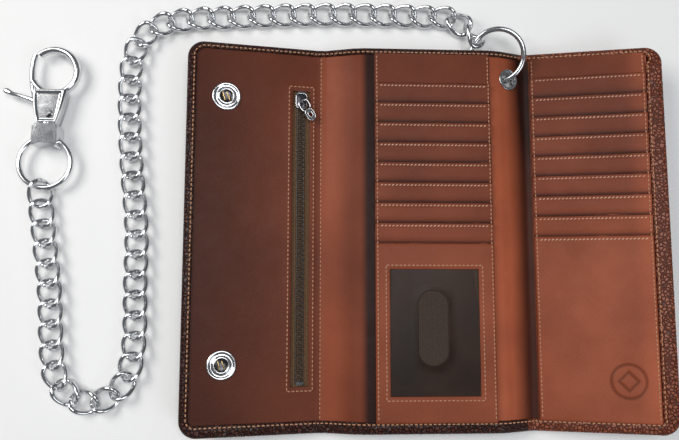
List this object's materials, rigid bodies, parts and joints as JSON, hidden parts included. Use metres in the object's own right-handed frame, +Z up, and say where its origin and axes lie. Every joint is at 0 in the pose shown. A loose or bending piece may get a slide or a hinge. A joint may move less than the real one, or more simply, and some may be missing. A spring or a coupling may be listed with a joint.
{
  "type": "chain wallet",
  "caption": "Long trifold leather wallet lying open, with card slots, ID window, zip pocket, snap fasteners, and a curb chain with a trigger hook.",
  "frame": {"origin": "centre of the whole object seen from above, on the table", "axes": "+X along the opened wallet from the hook side to the right wing, +Y across it towards the chain, +Z up"},
  "size_m": [0.336, 0.2214, 0.0189],
  "materials": {
    "black_metal": "gloss black",
    "brass": "satin",
    "dark_lining": "plain weave",
    "film": "clear film over a dark backing",
    "shell_leather": "embossed, polished",
    "smooth_leather": "fine grain, waxed",
    "steel": "polished",
    "zip_tape": "woven"
  },
  "bodies": {
    "right_spine": {"right_spine_shell": "shell_leather", "right_spine_lining": "smooth_leather", "chain_grommet": "steel", "grommet_washer": "steel"},
    "middle": {"middle_shell": "shell_leather", "middle_lining": "smooth_leather", "middle_card_backing": "smooth_leather", "id_window_frame": "smooth_leather", "id_window_film": "film", "id_window_backing": "film", "middle_card_slot_1": "smooth_leather", "middle_card_slot_2": "smooth_leather", "middle_card_slot_3": "smooth_leather", "middle_card_slot_4": "smooth_leather", "middle_card_slot_5": "smooth_leather", "middle_card_slot_6": "smooth_leather", "middle_card_slot_7": "smooth_leather", "middle_card_slot_8": "smooth_leather"},
    "left_spine": {"left_spine_shell": "shell_leather", "left_spine_lining": "smooth_leather"},
    "left_wing": {"left_shell": "shell_leather", "left_lining": "smooth_leather", "coin_pocket_bag": "dark_lining", "zip_tape": "zip_tape", "zip_coils": "black_metal", "zip_stops": "black_metal", "snap_sockets": "steel", "snap_caps": "steel"},
    "zip_slider": {"zip_slider": "black_metal"},
    "zip_puller": {"zip_puller": "black_metal"},
    "right_wing": {"right_shell": "shell_leather", "right_lining": "smooth_leather", "right_card_backing": "smooth_leather", "right_lower_pocket": "smooth_leather", "snap_studs": "steel", "snap_posts": "brass", "right_card_slot_1": "smooth_leather", "right_card_slot_2": "smooth_leather", "right_card_slot_3": "smooth_leather", "right_card_slot_4": "smooth_leather", "right_card_slot_5": "smooth_leather", "right_card_slot_6": "smooth_leather", "right_card_slot_7": "smooth_leather", "right_card_slot_8": "smooth_leather"},
    "grommet_ring": {"grommet_ring": "steel"},
    "chain_1": {"chain_links_1": "steel"},
    "chain_2": {"chain_links_2": "steel"},
    "chain_3": {"chain_links_3": "steel"},
    "chain_4": {"chain_links_4": "steel"},
    "chain_5": {"chain_links_5": "steel"},
    "chain_6": {"chain_links_6": "steel"},
    "chain_7": {"chain_links_7": "steel"},
    "hook_ring": {"hook_ring": "steel"},
    "swivel_base": {"swivel_base": "steel"},
    "hook": {"hook_body": "steel", "trigger_pin": "steel", "trigger_spring": "steel"},
    "trigger": {"hook_trigger": "steel"}
  },
  "joints": [
    {"name": "right_fold", "type": "hinge", "parent": "right_spine", "child": "middle", "pos_m": [0.08353, -0.01317, 0.0069], "axis": [0, 1, 0], "range_deg": [0, 109.44]},
    {"name": "right_wing_fold", "type": "hinge", "parent": "right_spine", "child": "right_wing", "pos_m": [0.10054, -0.01317, 0.0009], "axis": [0, -1, 0], "range_deg": [0, 62.16]},
    {"name": "left_fold", "type": "hinge", "parent": "middle", "child": "left_spine", "pos_m": [0.01253, -0.01317, 0.0069], "axis": [0, 1, 0], "range_deg": [0, 106.6]},
    {"name": "left_wing_fold", "type": "hinge", "parent": "left_spine", "child": "left_wing", "pos_m": [-0.00759, -0.01317, 0.0009], "axis": [0, 1, 0], "range_deg": [0, 59.4]},
    {"name": "zip_slide", "type": "slide", "parent": "left_wing", "child": "zip_slider", "axis": [0, -1, 0], "range_m": [0, 0.134]},
    {"name": "puller_swing", "type": "hinge", "parent": "zip_slider", "child": "zip_puller", "pos_m": [-0.01659, 0.05583, 0.00746], "axis": [-0.8259, -0.5446, 0.1456], "range_deg": [0, 172]},
    {"name": "ring_swing", "type": "hinge", "parent": "right_spine", "child": "grommet_ring", "pos_m": [0.09089, 0.06943, 0.0046], "axis": [0, 0, 1], "range_deg": [-6, 1]},
    {"name": "chain_at_ring", "type": "hinge", "parent": "grommet_ring", "child": "chain_1", "pos_m": [0.07326, 0.0877, 0.00567], "axis": [0, 0, 1], "range_deg": [-8, 1]},
    {"name": "chain_bend_1", "type": "hinge", "parent": "chain_1", "child": "chain_2", "pos_m": [0.00963, 0.10426, 0.0032], "axis": [0, 0, 1], "range_deg": [-8, 1]},
    {"name": "chain_bend_2", "type": "hinge", "parent": "chain_2", "child": "chain_3", "pos_m": [-0.06464, 0.10078, 0.0032], "axis": [0, 0, 1], "range_deg": [-8, 1]},
    {"name": "chain_bend_3", "type": "hinge", "parent": "chain_3", "child": "chain_4", "pos_m": [-0.10467, 0.05693, 0.0032], "axis": [0, 0, 1], "range_deg": [-1, 3]},
    {"name": "chain_bend_4", "type": "hinge", "parent": "chain_4", "child": "chain_5", "pos_m": [-0.09904, -0.01305, 0.0032], "axis": [0, 0, 1], "range_deg": [-1, 3]},
    {"name": "chain_bend_5", "type": "hinge", "parent": "chain_5", "child": "chain_6", "pos_m": [-0.10187, -0.08274, 0.0032], "axis": [0, 0, 1], "range_deg": [-2, 8]},
    {"name": "chain_bend_6", "type": "hinge", "parent": "chain_6", "child": "chain_7", "pos_m": [-0.13904, -0.0575, 0.0032], "axis": [0, 0, 1], "range_deg": [-1, 10]},
    {"name": "hook_ring_swing", "type": "hinge", "parent": "chain_7", "child": "hook_ring", "pos_m": [-0.14536, 0.01003, 0.00485], "axis": [0, 0, 1], "range_deg": [-2, 10]},
    {"name": "swivel_on_ring", "type": "hinge", "parent": "hook_ring", "child": "swivel_base", "pos_m": [-0.14466, 0.03563, 0.00485], "axis": [1, 0, 0], "range_deg": [0, 5]},
    {"name": "hook_swivel", "type": "hinge", "parent": "swivel_base", "child": "hook", "pos_m": [-0.14466, 0.03963, 0.00485], "axis": [0, 1, 0], "continuous": true},
    {"name": "trigger_gate", "type": "hinge", "parent": "hook", "child": "trigger", "pos_m": [-0.14466, 0.04803, 0.00485], "axis": [0, 0, 1], "range_deg": [0, 20], "stiffness_Nm_per_rad": 0.02}
  ],
  "couplings": [
    {"joint": "right_wing_fold", "follows": "right_fold", "ratio": 0.56778},
    {"joint": "left_wing_fold", "follows": "left_fold", "ratio": 0.55702}
  ]
}
